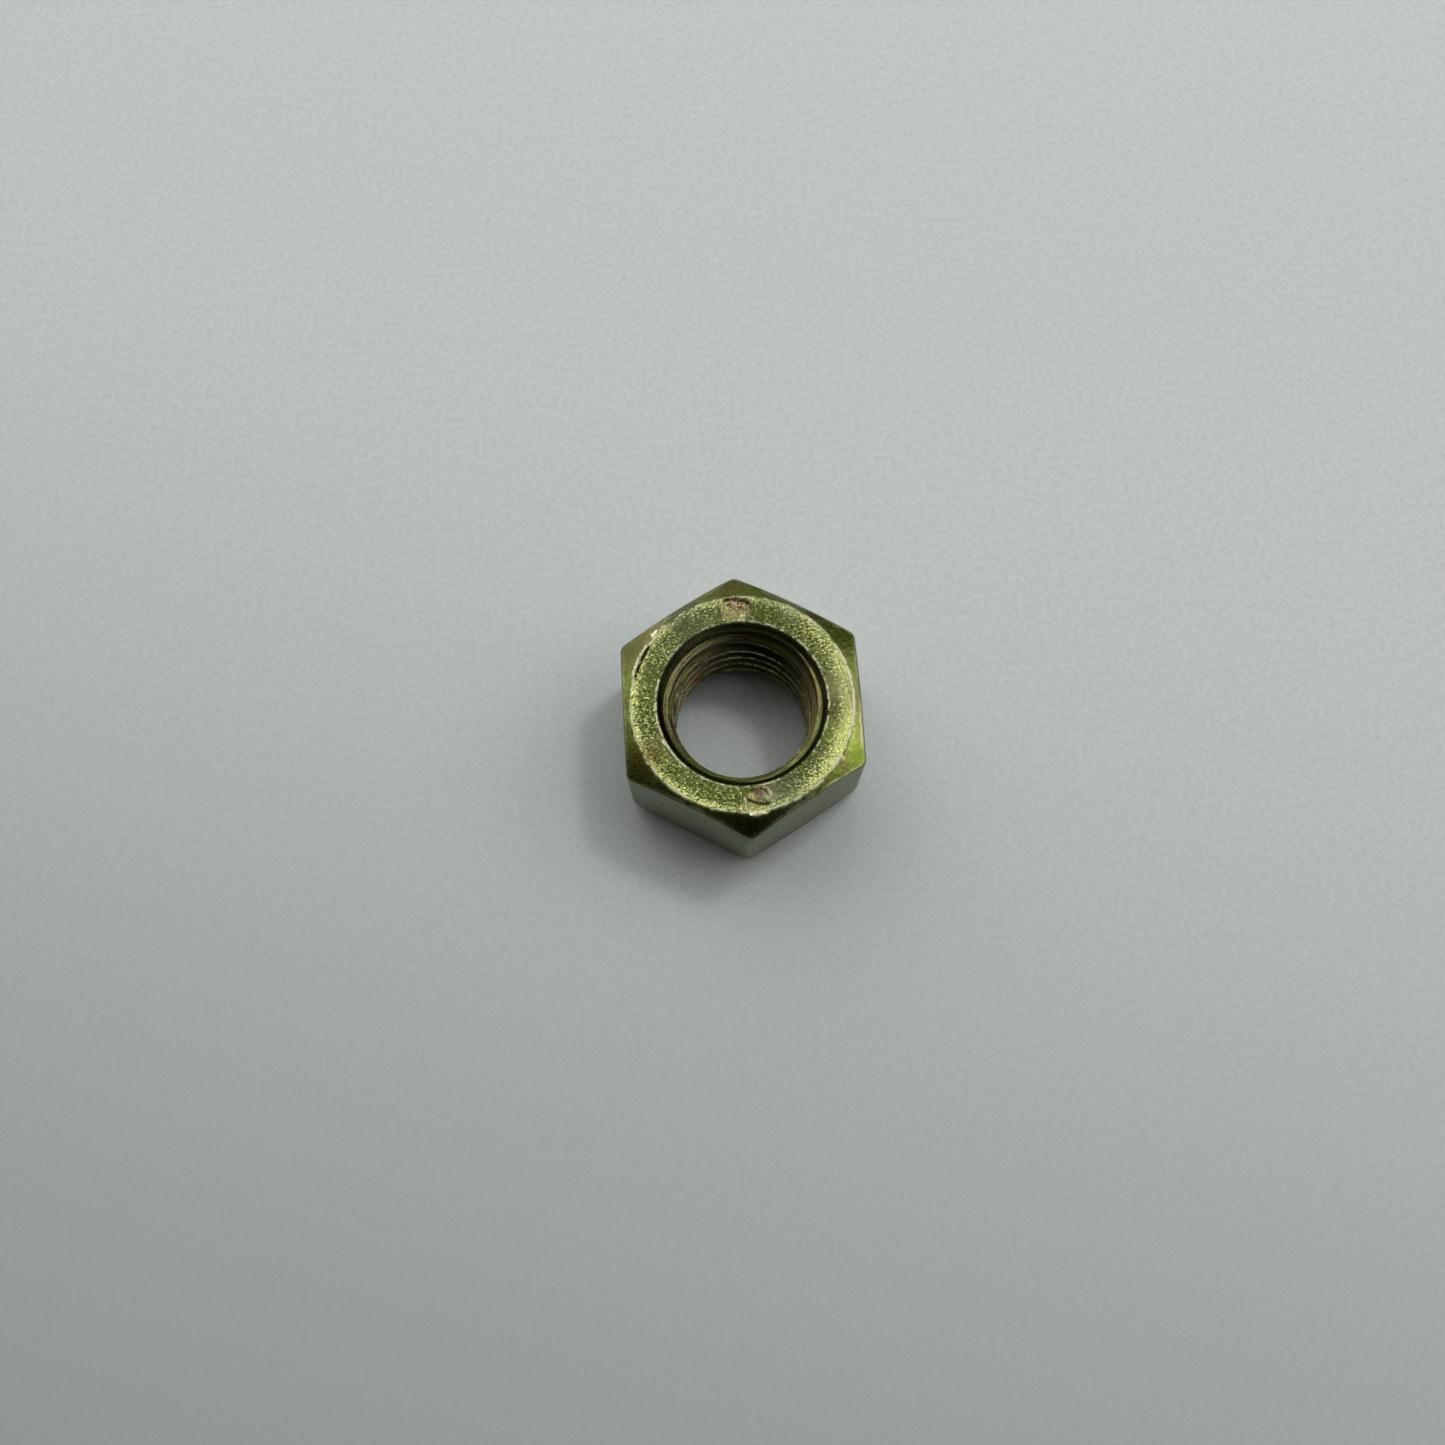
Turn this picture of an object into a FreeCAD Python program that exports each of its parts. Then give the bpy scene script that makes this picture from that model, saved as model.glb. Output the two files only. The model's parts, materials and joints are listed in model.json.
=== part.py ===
"""Hexagon nut M16 x 2, 24 mm across flats, modelled as one forged and tapped body.

Frame: +Z is the thread axis, the lower bearing face lies on Z = 0 and the origin
is its centre. +X is square to a wrench flat, +Y points through a corner.
"""
import FreeCAD, Part
import math
import os

import Sketcher

SIZES = (
    # alias, value in millimetres or degrees, what it is
    ("across_flats", 24.0, "wrench size"),
    ("nut_height", 13.0, "overall height"),
    ("corner_round", 0.9, "radius of the six upright edges"),
    ("bearing_dia", 22.5, "circle where the end chamfers start"),
    ("upper_chamfer", 25.0, "slope of the upper end chamfer"),
    ("lower_chamfer", 30.0, "slope of the lower end chamfer"),
    ("chamfer_crown", 40.0, "radius of the chamfers' slight doming"),
    ("major_dia", 16.0, "thread diameter at the root of the groove"),
    ("minor_dia", 13.835, "thread diameter at the crests"),
    ("pitch", 2.0, "thread pitch, right-hand, one start"),
    ("flank_angle", 30.0, "slope of each thread flank"),
    ("root_flat", 0.25, "width of the groove's flat root, an eighth of the pitch"),
    ("thread_phase", -1.205, "height of the groove's centre where the thread starts, on +X"),
    ("mouth_dia", 17.6, "countersink at both faces"),
    ("mouth_angle", 45.0, "slope of both countersinks"),
    ("lead_dia", 15.15, "lead-in taper where it meets the upper countersink"),
    ("lead_depth", 3.4, "depth below the upper face where the taper reaches the crests"),
    ("relief_rise", 1.4, "height of the cut that clears the first, partial turn"),
    ("relief_fall", 1.76, "how far that cut follows the thread down from the upper face"),
    ("mark_width", 2.5, "blank punch mark on the upper face, across"),
    ("mark_length", 2.2, "blank punch mark, along the radius"),
    ("mark_round", 0.6, "corner radius of the punch marks"),
    ("mark_depth", 0.22, "depth of the punch marks"),
    ("mark_distance", 10.05, "distance of the marks' centres from the axis"),
    ("first_mark_turn", 0.0, "direction of the first mark, anticlockwise from +Y"),
    ("second_mark_turn", 185.3, "direction of the second mark, anticlockwise from +Y"),
)
BORE_SECTORS = 12  # equal arcs that the bore's wall is divided into
THREAD_OVERRUN = 0.4  # how far the groove's profile reaches inside the crests
THREAD_TURNS = 8  # enough for the groove to leave the nut at both ends
INSIDE = f"(Sizes.minor_dia / 2 - {THREAD_OVERRUN})"
HALF_OPEN = f"(Sizes.root_flat / 2 + (Sizes.major_dia / 2 - {INSIDE}) * tan(Sizes.flank_angle))"


def make_sheet(doc):
    """Write the driving dimensions into a spreadsheet and return their values."""
    sheet = doc.addObject("Spreadsheet::Sheet", "Sizes")
    for row, (alias, value, meaning) in enumerate(SIZES, start=1):
        sheet.set(f"A{row}", alias)
        sheet.set(f"B{row}", str(value))
        sheet.set(f"C{row}", meaning)
        sheet.setAlias(f"B{row}", alias)
    doc.recompute()
    return {alias: value for alias, value, _ in SIZES}


def origin_feature(body, role):
    """Return one of the body's own origin planes or axes."""
    return next(part for part in body.Origin.OriginFeatures if part.Role == role)


def new_sketch(body, name, plane_role):
    """Add a sketch that lies flat on one of the body's origin planes."""
    sketch = body.newObject("Sketcher::SketchObject", name)
    sketch.AttachmentSupport = (origin_feature(body, plane_role), "")
    sketch.MapMode = "FlatFace"
    return sketch


def bind(sketch, constraint, name, formula):
    """Add a named dimension to a sketch and drive it from the spreadsheet."""
    index = sketch.addConstraint(constraint)
    sketch.renameConstraint(index, name)
    sketch.setExpression(f"Constraints.{name}", formula)


def closed_lines(sketch, points):
    """Draw a closed chain of straight lines through the points."""
    count = len(points)
    vectors = [FreeCAD.Vector(x, y, 0) for x, y in points]
    for k in range(count):
        sketch.addGeometry(Part.LineSegment(vectors[k], vectors[(k + 1) % count]))
    for k in range(count):
        sketch.addConstraint(Sketcher.Constraint("Coincident", k, 2, (k + 1) % count, 1))


def pin_corners(sketch, corners):
    """Place each corner of a closed outline by formulas for its X and Y.

    A formula of None keeps that corner on the sketch's own axis.
    """
    for k, (x_formula, y_formula) in enumerate(corners):
        place = sketch.getPoint(k, 1)
        if x_formula is None:
            sketch.addConstraint(Sketcher.Constraint("PointOnObject", k, 1, -2))
        else:
            bind(sketch, Sketcher.Constraint("DistanceX", -1, 1, k, 1, place.x), f"x{k}", x_formula)
        if y_formula is None:
            sketch.addConstraint(Sketcher.Constraint("PointOnObject", k, 1, -1))
        else:
            bind(sketch, Sketcher.Constraint("DistanceY", -1, 1, k, 1, place.y), f"y{k}", y_formula)


def cut_ring(doc, body, name, points, formulas):
    """Turn a closed outline of radius and height about Z and cut it away."""
    sketch = new_sketch(body, f"{name}Profile", "XZ_Plane")
    closed_lines(sketch, points)
    pin_corners(sketch, formulas)
    turn_groove(doc, body, name, sketch)


def turn_groove(doc, body, name, sketch):
    """Cut away what a sketch sweeps in one full turn about Z."""
    groove = body.newObject("PartDesign::Groove", name)
    groove.Profile = sketch
    groove.ReferenceAxis = (origin_feature(body, "Z_Axis"), "")
    groove.Angle = 360
    groove.Refine = False
    doc.recompute()


def add_hexagon(doc, body, size):
    """Pad the hexagon, two flats square to X, and round its upright edges."""
    sketch = new_sketch(body, "HexagonOutline", "XY_Plane")
    corner_radius = size["across_flats"] / 2 / math.cos(math.radians(30))
    angles = [math.radians(60 * k - 30) for k in range(6)]
    closed_lines(sketch, [(corner_radius * math.cos(a), corner_radius * math.sin(a)) for a in angles])
    circle = Part.Circle(FreeCAD.Vector(0, 0, 0), FreeCAD.Vector(0, 0, 1), corner_radius)
    ring = sketch.addGeometry(circle, True)
    sketch.addConstraint(Sketcher.Constraint("Coincident", ring, 3, -1, 1))
    for k in range(6):
        sketch.addConstraint(Sketcher.Constraint("PointOnObject", k, 1, ring))
    for k in range(1, 6):
        sketch.addConstraint(Sketcher.Constraint("Equal", 0, k))
    sketch.addConstraint(Sketcher.Constraint("Vertical", 0))
    bind(sketch, Sketcher.Constraint("Radius", ring, corner_radius), "corner_radius",
         "Sizes.across_flats / 2 / cos(30)")

    pad = body.newObject("PartDesign::Pad", "Hexagon")
    pad.Profile = sketch
    pad.setExpression("Length", "Sizes.nut_height")
    doc.recompute()

    uprights = [f"Edge{number}" for number, edge in enumerate(pad.Shape.Edges, start=1)
                if abs(edge.Vertexes[0].Z - edge.Vertexes[-1].Z) > size["nut_height"] / 2]
    fillet = body.newObject("PartDesign::Fillet", "UprightEdges")
    fillet.Base = (pad, uprights)
    fillet.setExpression("Radius", "Sizes.corner_round")
    doc.recompute()


def add_end_chamfers(doc, body, size):
    """Turn the chamfers that cut the hexagon's corners at both ends."""
    inner = size["bearing_dia"] / 2
    outer = size["across_flats"] * 0.6
    top = size["nut_height"]
    reach = "(Sizes.across_flats * 0.6 - Sizes.bearing_dia / 2)"
    upper_fall = (outer - inner) * math.tan(math.radians(size["upper_chamfer"]))
    lower_rise = (outer - inner) * math.tan(math.radians(size["lower_chamfer"]))
    cut_crowned_corner(doc, body, "LowerChamfer", size["chamfer_crown"],
                       [(inner, 0), (outer, lower_rise), (outer, 0)],
                       [("Sizes.bearing_dia / 2", None),
                        ("Sizes.across_flats * 0.6", f"{reach} * tan(Sizes.lower_chamfer)"),
                        ("Sizes.across_flats * 0.6", None)])
    cut_crowned_corner(doc, body, "UpperChamfer", size["chamfer_crown"],
                       [(outer, top - upper_fall), (inner, top), (outer, top)],
                       [("Sizes.across_flats * 0.6", f"Sizes.nut_height - {reach} * tan(Sizes.upper_chamfer)"),
                        ("Sizes.bearing_dia / 2", "Sizes.nut_height"),
                        ("Sizes.across_flats * 0.6", "Sizes.nut_height")])


def cut_crowned_corner(doc, body, name, crown, points, formulas):
    """Cut away a ring outside a slightly domed cone.

    The points are the two ends of the dome's arc, anticlockwise, and the ring's
    outer corner. The arc bulges towards that corner.
    """
    start, end, corner = (FreeCAD.Vector(x, y, 0) for x, y in points)
    chord = end - start
    outward = FreeCAD.Vector(chord.y, -chord.x, 0).normalize()
    bulge = crown - math.sqrt(crown ** 2 - chord.Length ** 2 / 4)
    sketch = new_sketch(body, f"{name}Profile", "XZ_Plane")
    sketch.addGeometry(Part.Arc(start, (start + end) / 2 + outward * bulge, end))
    sketch.addGeometry(Part.LineSegment(end, corner))
    sketch.addGeometry(Part.LineSegment(corner, start))
    for k in range(3):
        sketch.addConstraint(Sketcher.Constraint("Coincident", k, 2, (k + 1) % 3, 1))
    pin_corners(sketch, formulas)
    bind(sketch, Sketcher.Constraint("Radius", 0, crown), "crown", "Sizes.chamfer_crown")
    turn_groove(doc, body, name, sketch)


def add_bore(doc, body, size):
    """Bore the hole to the crest diameter, its wall divided into equal sectors."""
    sketch = new_sketch(body, "BoreOutline", "XY_Plane")
    radius = size["minor_dia"] / 2
    circle = Part.Circle(FreeCAD.Vector(0, 0, 0), FreeCAD.Vector(0, 0, 1), radius)
    span = 2 * math.pi / BORE_SECTORS
    for k in range(BORE_SECTORS):
        sketch.addGeometry(Part.ArcOfCircle(circle, span * k, span * (k + 1)))
    last = BORE_SECTORS - 1
    for k in range(BORE_SECTORS):
        sketch.addConstraint(Sketcher.Constraint("Coincident", k, 2, (k + 1) % BORE_SECTORS, 1))
    for k in range(last):
        sketch.addConstraint(Sketcher.Constraint("Coincident", k, 3, -1, 1))
    sketch.addConstraint(Sketcher.Constraint("Equal", 0, last))
    bind(sketch, Sketcher.Constraint("Radius", 0, radius), "crest_radius", "Sizes.minor_dia / 2")

    pocket = body.newObject("PartDesign::Pocket", "Bore")
    pocket.Profile = sketch
    pocket.Type = "ThroughAll"
    pocket.Midplane = True
    pocket.Refine = False
    doc.recompute()


def add_mouths(doc, body, size):
    """Countersink both ends; the upper one runs on into a steep lead-in taper."""
    top = size["nut_height"]
    mouth = size["mouth_dia"] / 2
    major = size["major_dia"] / 2
    minor = size["minor_dia"] / 2
    slope = math.tan(math.radians(size["mouth_angle"]))
    upper_depth = (mouth - major) * slope
    lower_depth = (mouth - minor) * slope
    shelf = "Sizes.nut_height - (Sizes.mouth_dia - Sizes.major_dia) / 2 * tan(Sizes.mouth_angle)"
    taper_end = "Sizes.nut_height - Sizes.lead_depth"
    cut_ring(doc, body, "UpperMouth",
             [(0, top), (mouth, top), (major, top - upper_depth), (size["lead_dia"] / 2, top - upper_depth),
              (minor, top - size["lead_depth"]), (0, top - size["lead_depth"])],
             [(None, "Sizes.nut_height"),
              ("Sizes.mouth_dia / 2", "Sizes.nut_height"),
              ("Sizes.major_dia / 2", shelf),
              ("Sizes.lead_dia / 2", shelf),
              ("Sizes.minor_dia / 2", taper_end),
              (None, taper_end)])
    floor = "(Sizes.mouth_dia - Sizes.minor_dia) / 2 * tan(Sizes.mouth_angle)"
    cut_ring(doc, body, "LowerMouth",
             [(0, 0), (mouth, 0), (minor, lower_depth), (0, lower_depth)],
             [(None, None),
              ("Sizes.mouth_dia / 2", None),
              ("Sizes.minor_dia / 2", floor),
              (None, floor)])


def cut_helix(doc, body, name, sketch, climb, downward=False):
    """Carry a profile along the right-hand helix by a climb given as a formula."""
    helix = body.newObject("PartDesign::SubtractiveHelix", name)
    helix.Profile = sketch
    helix.ReferenceAxis = (origin_feature(body, "Z_Axis"), "")
    helix.Mode = "pitch-height-angle"
    helix.setExpression("Pitch", "Sizes.pitch")
    helix.setExpression("Height", climb)
    helix.Reversed = downward
    helix.Refine = False
    doc.recompute()


def groove_sizes(size):
    """Return the groove profile's inner radius, root radius and half widths at both."""
    root = size["major_dia"] / 2
    inside = size["minor_dia"] / 2 - THREAD_OVERRUN
    half_root = size["root_flat"] / 2
    half_open = half_root + (root - inside) * math.tan(math.radians(size["flank_angle"]))
    return inside, root, half_root, half_open


def add_thread(doc, body, size):
    """Cut the 60 degree thread groove from below the lower face to above the upper one."""
    inside, root, half_root, half_open = groove_sizes(size)
    middle = size["thread_phase"]
    sketch = new_sketch(body, "ThreadProfile", "XZ_Plane")
    closed_lines(sketch, [(inside, middle - half_open), (root, middle - half_root),
                          (root, middle + half_root), (inside, middle + half_open)])
    pin_corners(sketch, [
        (INSIDE, f"Sizes.thread_phase - {HALF_OPEN}"),
        ("Sizes.major_dia / 2", "Sizes.thread_phase - Sizes.root_flat / 2"),
        ("Sizes.major_dia / 2", "Sizes.thread_phase + Sizes.root_flat / 2"),
        (INSIDE, f"Sizes.thread_phase + {HALF_OPEN}"),
    ])
    cut_helix(doc, body, "Thread", sketch, f"{THREAD_TURNS} * Sizes.pitch")


def add_start_relief(doc, body, size):
    """Clear the partial turn above the first full ridge, so the thread starts blunt.

    The cut begins on +X, where the groove is nearest the upper face, and follows
    the groove downwards; it takes away what stands above the groove's centre.
    """
    inside, root, half_root, half_open = groove_sizes(size)
    turns_up = THREAD_TURNS - 1
    middle = size["thread_phase"] + turns_up * size["pitch"]
    ceiling = middle + size["relief_rise"]
    centre = f"Sizes.thread_phase + {turns_up} * Sizes.pitch"
    sketch = new_sketch(body, "StartReliefProfile", "XZ_Plane")
    closed_lines(sketch, [(inside, middle - half_open), (root, middle - half_root),
                          (root, ceiling), (inside, ceiling)])
    pin_corners(sketch, [
        (INSIDE, f"{centre} - {HALF_OPEN}"),
        ("Sizes.major_dia / 2", f"{centre} - Sizes.root_flat / 2"),
        ("Sizes.major_dia / 2", f"{centre} + Sizes.relief_rise"),
        (INSIDE, f"{centre} + Sizes.relief_rise"),
    ])
    cut_helix(doc, body, "StartRelief", sketch, "Sizes.relief_fall", downward=True)


def add_punch_marks(doc, body, size):
    """Sink two blank rounded marks into the upper face, near opposite corners."""
    half_width = size["mark_width"] / 2
    half_length = size["mark_length"] / 2
    middle = size["mark_distance"]
    near, far = middle - half_length, middle + half_length
    for name, turn in (("FirstMark", "first_mark_turn"), ("SecondMark", "second_mark_turn")):
        sketch = new_sketch(body, f"{name}Outline", "XY_Plane")
        sketch.setExpression("AttachmentOffset.Base.z", "Sizes.nut_height")
        sketch.setExpression("AttachmentOffset.Rotation.Angle", f"Sizes.{turn}")
        closed_lines(sketch, [(-half_width, near), (half_width, near), (half_width, far), (-half_width, far)])
        low = "Sizes.mark_distance - Sizes.mark_length / 2"
        high = "Sizes.mark_distance + Sizes.mark_length / 2"
        pin_corners(sketch, [("-Sizes.mark_width / 2", low), ("Sizes.mark_width / 2", low),
                             ("Sizes.mark_width / 2", high), ("-Sizes.mark_width / 2", high)])
        mark = body.newObject("PartDesign::Pocket", name)
        mark.Profile = sketch
        mark.setExpression("Length", "Sizes.mark_depth")
        mark.Refine = False
        doc.recompute()

        rounding = body.newObject("PartDesign::Fillet", f"{name}Corners")
        rounding.Base = (mark, mark_corner_edges(mark.Shape, size))
        rounding.setExpression("Radius", "Sizes.mark_round")
        rounding.Refine = False
        doc.recompute()


def mark_corner_edges(shape, size):
    """Name the short upright edges that the newest square mark leaves in the upper face."""
    depth = size["mark_depth"]
    names = []
    for number, edge in enumerate(shape.Edges, start=1):
        ends = [vertex.Point for vertex in edge.Vertexes]
        if len(ends) != 2 or not isinstance(edge.Curve, Part.Line):
            continue
        rise = ends[1] - ends[0]
        square_corner = len(shape.ancestorsOfType(edge, Part.Face)) == 2 and all(
            isinstance(face.Surface, Part.Plane) for face in shape.ancestorsOfType(edge, Part.Face))
        if square_corner and abs(abs(rise.z) - depth) < 1e-6 and rise.Length - depth < 1e-6:
            names.append(f"Edge{number}")
    return names


def check(doc, body):
    """Stop if any feature failed or the finished solid is not one valid solid."""
    failed = [item.Label for item in doc.Objects if {"Invalid", "Error"} & set(item.State)]
    if failed:
        raise RuntimeError(f"failed features: {failed}")
    shape = body.Shape
    if shape.isNull() or not shape.isValid() or len(shape.Solids) != 1:
        raise RuntimeError(f"{body.Label} is not one valid solid")


def main():
    """Build the nut and write its STEP file."""
    doc = FreeCAD.newDocument("HexNut")
    size = make_sheet(doc)
    body = doc.addObject("PartDesign::Body", "HexNut")
    body.Label = "hex_nut"
    volumes = []
    for step in (add_hexagon, add_end_chamfers, add_bore, add_mouths, add_thread,
                 add_start_relief, add_punch_marks):
        step(doc, body, size)
        volumes.append((step.__name__, body.Shape.Volume))
    doc.recompute()
    check(doc, body)
    os.makedirs("parts", exist_ok=True)
    body.Shape.exportStep(f"parts/{body.Label}.step")
    for name, volume in volumes:
        print(f"{name:18s} {volume:10.2f} mm3")
    print("faces", len(body.Shape.Faces), "box", body.Shape.BoundBox)


main()
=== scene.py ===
"""Looks of a zinc-plated, yellow-passivated M16 hex nut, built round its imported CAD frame.

Inside the classes lengths are millimetres and turns are degrees clockwise from +Y, seen from above. Depths
run down from the upper face. The scene itself is in metres.
"""
import json
import logging
import math
from dataclasses import dataclass, field
from enum import Enum

import bpy
import numpy as np
from mathutils import Matrix, Vector, noise


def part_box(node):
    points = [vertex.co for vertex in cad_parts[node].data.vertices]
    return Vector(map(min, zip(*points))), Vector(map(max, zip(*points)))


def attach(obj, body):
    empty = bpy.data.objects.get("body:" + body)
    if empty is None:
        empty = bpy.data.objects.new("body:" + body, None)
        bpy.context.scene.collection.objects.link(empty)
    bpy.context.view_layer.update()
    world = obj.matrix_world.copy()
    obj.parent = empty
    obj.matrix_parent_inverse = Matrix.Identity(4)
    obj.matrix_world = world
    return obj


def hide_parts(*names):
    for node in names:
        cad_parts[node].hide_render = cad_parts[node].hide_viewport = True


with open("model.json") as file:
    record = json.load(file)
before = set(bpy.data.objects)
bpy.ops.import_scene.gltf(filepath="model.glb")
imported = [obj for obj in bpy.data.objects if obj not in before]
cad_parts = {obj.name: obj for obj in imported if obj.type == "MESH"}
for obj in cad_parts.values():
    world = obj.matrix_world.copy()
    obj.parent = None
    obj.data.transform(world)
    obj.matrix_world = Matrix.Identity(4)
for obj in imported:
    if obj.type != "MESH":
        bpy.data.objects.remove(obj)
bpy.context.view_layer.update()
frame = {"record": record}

MM = 0.001
log = logging.getLogger("hex_nut")
Array = np.ndarray
Colour = tuple[float, float, float]
Place = tuple[float, float, float]
Input = bpy.types.NodeSocket | float | tuple


def soft_min(first: Array, second: Array, width: Array | float) -> Array:
    """Take the smaller of two heights, with the corner where they cross rounded.

    Args:
        first: heights of one surface.
        second: heights of the other surface.
        width: how far apart the heights may be and still blend.

    Returns:
        The blended heights, never above either surface.
    """
    safe = np.maximum(width, 1e-6)
    share = np.clip(0.5 + 0.5 * (second - first) / safe, 0, 1)
    return second * (1 - share) + first * share - safe * share * (1 - share)


def soft_max(first: Array, second: Array, width: Array | float) -> Array:
    """Take the larger of two heights, with the corner between them filled."""
    return -soft_min(-first, -second, width)


def bell(distance: Array, reach: float) -> Array:
    """Fall smoothly from 1 at no distance towards 0 beyond the reach."""
    return np.exp(-(distance / reach) ** 2)


def step(value: Array, low: float, high: float) -> Array:
    """Rise smoothly from 0 at low to 1 at high."""
    share = np.clip((value - low) / (high - low), 0, 1)
    return share * share * (3 - 2 * share)


def turn_gap(turn: Array, other: float) -> Array:
    """Signed angle from one turn to another, between -180 and 180 degrees."""
    return (turn - other + 180) % 360 - 180


def grain(points: Array, per_mm: float, seed: int) -> Array:
    """Sample smooth random values at points.

    Args:
        points: places, one row of three coordinates each.
        per_mm: how many lumps to the millimetre.
        seed: which of the endless random fields to use.

    Returns:
        One value between about -1 and 1 for each point.
    """
    shift = np.array([17.31, 5.17, 9.73]) * seed
    places = points.reshape(-1, 3) * per_mm + shift
    values = [noise.noise(Vector(place)) for place in places.tolist()]
    return np.array(values).reshape(points.shape[:-1])


class Region(Enum):
    """Parts of the nut's skin that look different from its faces: the chamfers, flats and bore because they
    are tooled differently, the mouth because it is coloured near-black as painted shade.
    """

    CHAMFER = "chamfer"
    FLAT = "flat"
    MOUTH = "mouth"
    BORE = "bore"


@dataclass(frozen=True)
class Hexagon:
    """Outline of the blank, with corners at every sixth of a turn from +Y."""

    across_flats: float
    corner_round: float = 0.9

    def radius(self, turn: Array) -> Array:
        """Measure how far the outline lies from the axis.

        Args:
            turn: directions to measure in.

        Returns:
            The distance in each direction.
        """
        half = self.across_flats / 2
        off_flat = np.radians(turn % 60 - 30)
        off_corner = math.radians(30) - np.abs(off_flat)
        centre = (half - self.corner_round) / math.cos(math.radians(30))
        tangent = math.atan2(self.corner_round / 2, centre + self.corner_round * math.cos(math.radians(30)))
        side = centre * np.sin(off_corner)
        rounded = centre * np.cos(off_corner) + np.sqrt(np.maximum(self.corner_round ** 2 - side ** 2, 0))
        return np.where(off_corner < tangent, rounded, half / np.cos(off_flat))


@dataclass(frozen=True)
class EndChamfer:
    """Slightly domed cone that takes the corners off one end of the hexagon."""

    start: float
    slope: float
    reach: float
    crown: float = 40.0

    def drop(self, radius: Array) -> Array:
        """Measure how far the cone lies below its end face.

        Args:
            radius: distances from the axis.

        Returns:
            The depth at each radius.
        """
        run = self.reach - self.start
        fall = run * math.tan(math.radians(self.slope))
        chord = math.hypot(run, fall)
        back = math.sqrt(self.crown ** 2 - chord ** 2 / 4)
        middle_r = self.start + run / 2 - back * math.sin(math.radians(self.slope))
        middle_h = -fall / 2 - back * math.cos(math.radians(self.slope))
        return -(middle_h + np.sqrt(self.crown ** 2 - (radius - middle_r) ** 2))


@dataclass(frozen=True)
class Thread:
    """Right-hand internal thread whose first ridge starts blunt and is trimmed by a lead-in."""

    crest: float
    root: float = 8.0
    pitch: float = 2.0
    root_flat: float = 0.25
    first_depth: float = -0.295
    trimmed: tuple[tuple[float, float], ...] = (
        (43, 8.0), (50, 7.93), (65, 7.74), (90, 7.58), (115, 7.51), (180, 7.49), (270, 7.37),
        (350, 7.31), (450, 7.08), (540, 6.94), (640, 6.92))
    rows_per_half: int = 8

    @property
    def rows_per_pitch(self) -> int:
        """Rows of vertices from one groove's root to the next."""
        return 2 * self.rows_per_half - 2

    def groove_depth(self, turn: Array) -> Array:
        """Depth of the groove's middle; a turn past 360 is the next groove down."""
        return self.first_depth + turn * self.pitch / 360

    def ridge(self, turn: Array) -> Array:
        """Find the crest of the ridge that lies just below the groove.

        Args:
            turn: unwound turns.

        Returns:
            The crest's radius at each turn.
        """
        turns, radii = zip(*self.trimmed)
        crest = np.interp(turn, turns, np.minimum(np.array(radii), self.root))
        return np.maximum(crest, self.crest)

    def section(self, turn: Array) -> tuple[Array, Array]:
        """Lay out one pitch of the thread, from a groove's root to the next.

        Args:
            turn: unwound turn of each column.

        Returns:
            Steps in depth below the groove's middle, and the wall's radius, by row and column.
        """
        crest = self.ridge(turn)
        height = self.root - crest
        flank = math.sqrt(3)
        meet = self.root_flat / 2 + height / flank
        none = np.zeros_like(meet)
        sharp = np.array([none, none + 0.09, none + 0.16, (meet + 0.1) / 2, meet - 0.06, meet, meet + 0.07,
                          none + self.pitch / 2])
        plain = np.linspace(0, self.pitch / 2, self.rows_per_half)[:, None]
        share = np.clip(height / 0.25, 0, 1)
        half = plain * (1 - share) + sharp * share
        depth = np.concatenate([half, self.pitch - half[-2:0:-1]])
        reach = np.minimum(depth, self.pitch - depth)
        flanks = self.root - (reach - self.root_flat / 2) * flank
        groove = soft_min(np.full_like(reach, self.root), flanks, 0.1 * share)
        return depth, soft_max(np.broadcast_to(crest, groove.shape), groove, 0.09 * share)


@dataclass(frozen=True)
class PunchMark:
    """Blank worn recess left by a punch, with the metal it pushed up around it."""

    turn: float
    distance: float
    width: float
    length: float
    depth: float
    crease: float
    slant: float
    corner: float = 0.6
    shoulder: float = 0.3
    lip: float = 0.02

    def local(self, x: Array, y: Array) -> tuple[Array, Array]:
        """Measure places along the mark's own two directions.

        Args:
            x: places along +X.
            y: places along +Y.

        Returns:
            How far each place lies across the mark, and outwards from its middle.
        """
        turn = math.radians(self.turn)
        across = x * math.cos(turn) - y * math.sin(turn)
        return across, x * math.sin(turn) + y * math.cos(turn) - self.distance

    def fold(self, x: Array, y: Array) -> Array:
        """Say how near points lie to the deep fold that runs across the mark."""
        across, along = self.local(x, y)
        return bell(along - self.crease - self.slant * across + 0.2 * across ** 2, 0.2)

    def gap(self, x: Array, y: Array) -> Array:
        """Measure how far points lie outside the mark's outline.

        Args:
            x: places along +X.
            y: places along +Y.

        Returns:
            Distances, negative inside the outline.
        """
        across, along = self.local(x, y)
        dx = np.abs(across) - self.width / 2 + self.corner
        dy = np.abs(along) - self.length / 2 + self.corner
        outside = np.hypot(np.maximum(dx, 0), np.maximum(dy, 0))
        return outside + np.minimum(np.maximum(dx, dy), 0) - self.corner


@dataclass(frozen=True)
class RimDent:
    """Knock along the rim where the upper face meets the chamfer."""

    first_turn: float
    last_turn: float
    distance: float
    width: float
    depth: float

    def strength(self, turn: Array, radius: Array) -> Array:
        """Measure how much of the dent's full depth is reached.

        Args:
            turn: direction of each place.
            radius: its distance from the axis.

        Returns:
            Shares of the full depth, from 0 to 1.
        """
        middle = (self.first_turn + self.last_turn) / 2
        half = (self.last_turn - self.first_turn) / 2
        past_end = np.maximum(np.abs(turn_gap(turn, middle)) - half, 0)
        return bell(radius - self.distance, self.width) * bell(past_end, 1.2)


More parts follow.
